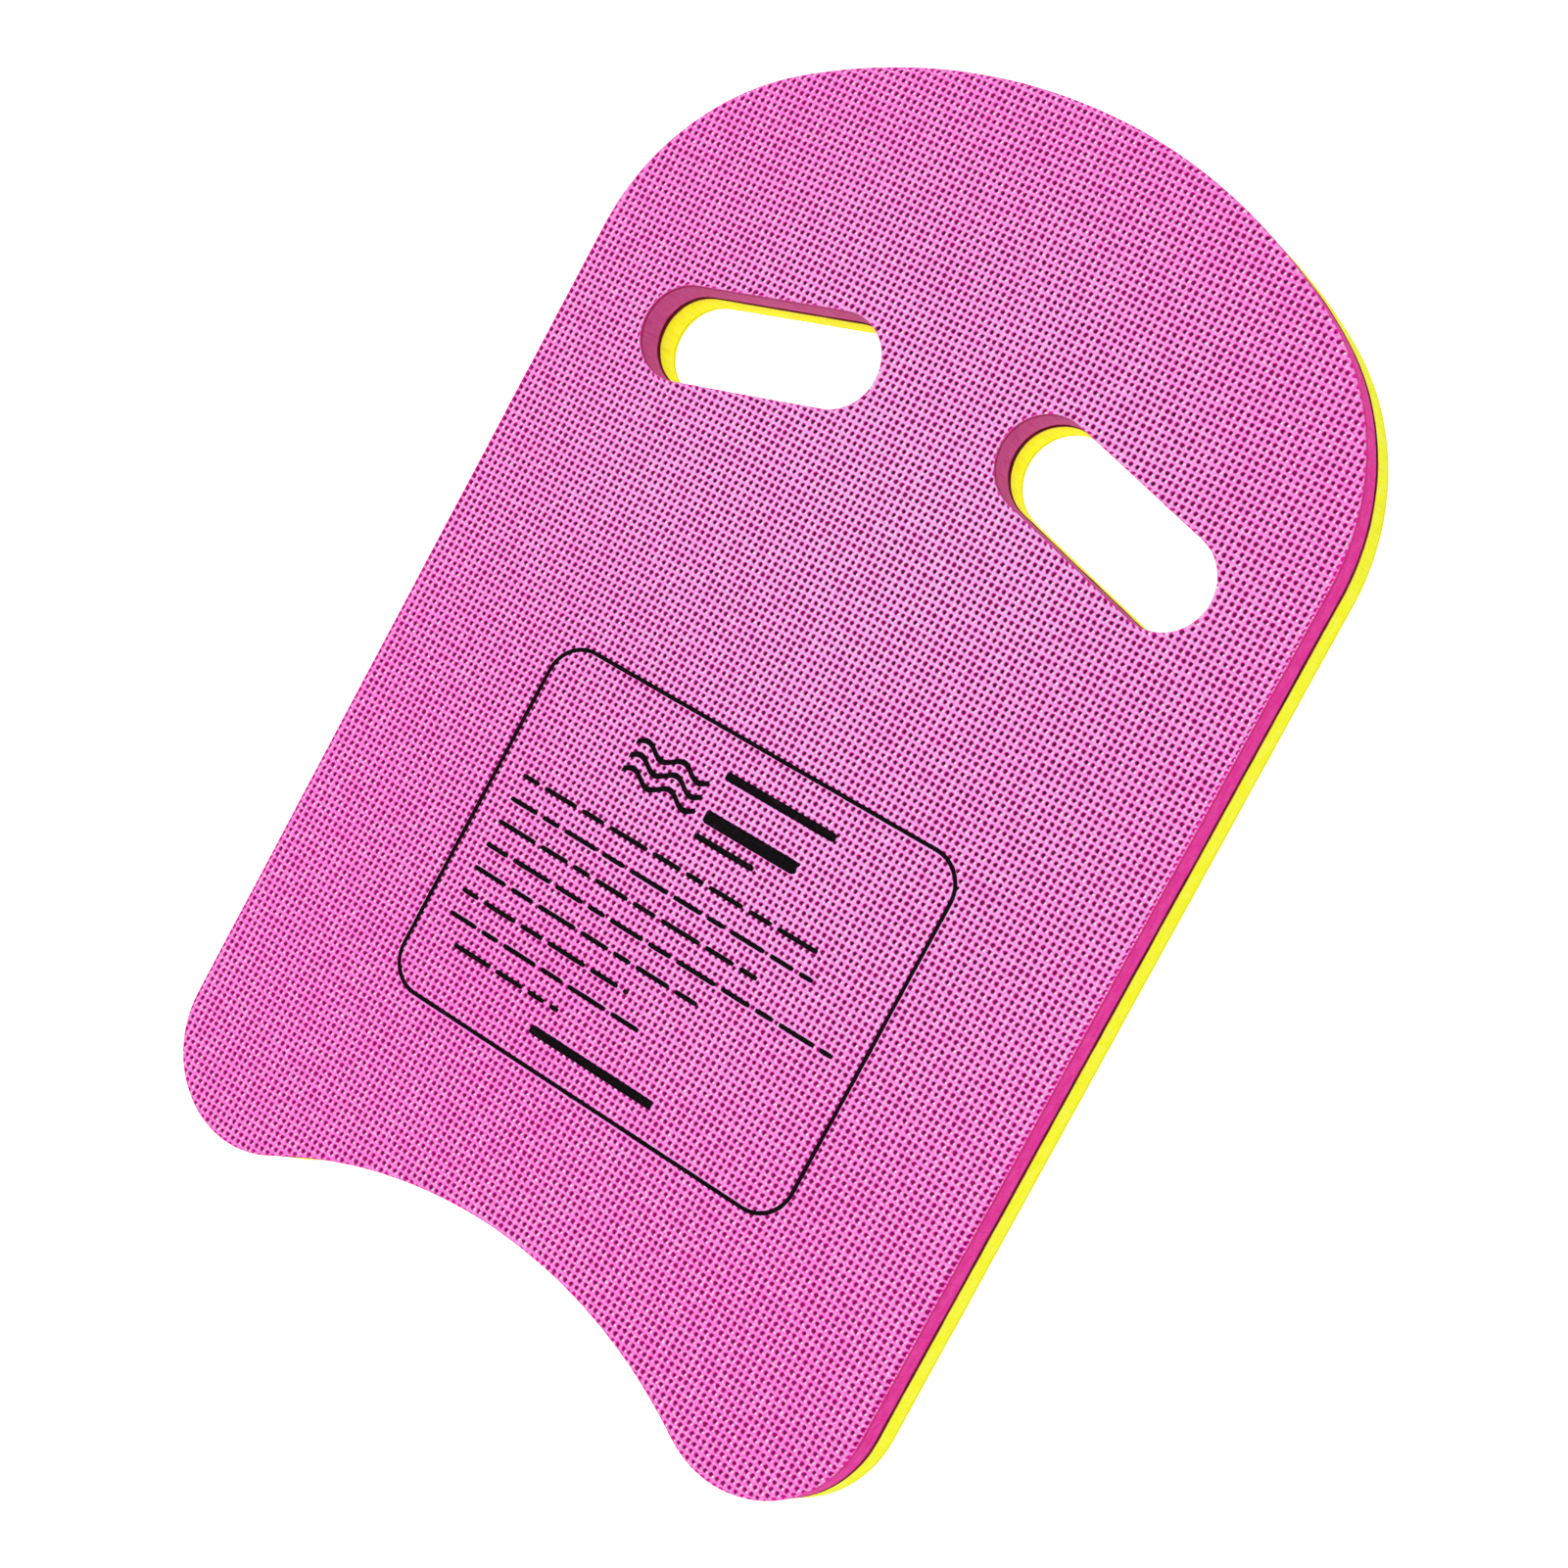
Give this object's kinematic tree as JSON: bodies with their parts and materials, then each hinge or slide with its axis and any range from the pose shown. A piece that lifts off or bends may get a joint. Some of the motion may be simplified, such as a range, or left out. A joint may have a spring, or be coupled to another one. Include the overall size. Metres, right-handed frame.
{
  "type": "swimming kickboard",
  "caption": "Flat closed-cell foam swimming kickboard in bonded pink and yellow layers, with a rounded nose, a hollow tail, slanted hand slots and a plain printed panel.",
  "frame": {"origin": "middle of the board's length and width, on its lower face", "axes": "+X across the board to the right, +Y to the nose, +Z out of the printed upper face"},
  "size_m": [0.282, 0.43, 0.0276],
  "materials": {
    "pink_foam": "matt closed-cell EVA foam with a finely pitted skin",
    "adhesive": "dark flexible adhesive",
    "yellow_foam": "matt closed-cell EVA foam with a finely pitted skin",
    "black_ink": "matt screen-print ink"
  },
  "bodies": {
    "root": {"upper_foam_sheet": "pink_foam", "bond_film": "adhesive", "lower_foam_sheet": "yellow_foam", "print_border": "black_ink", "print_emblem": "black_ink", "print_heading": "black_ink", "print_small_lines": "black_ink", "print_footer": "black_ink"}
  },
  "joints": []
}
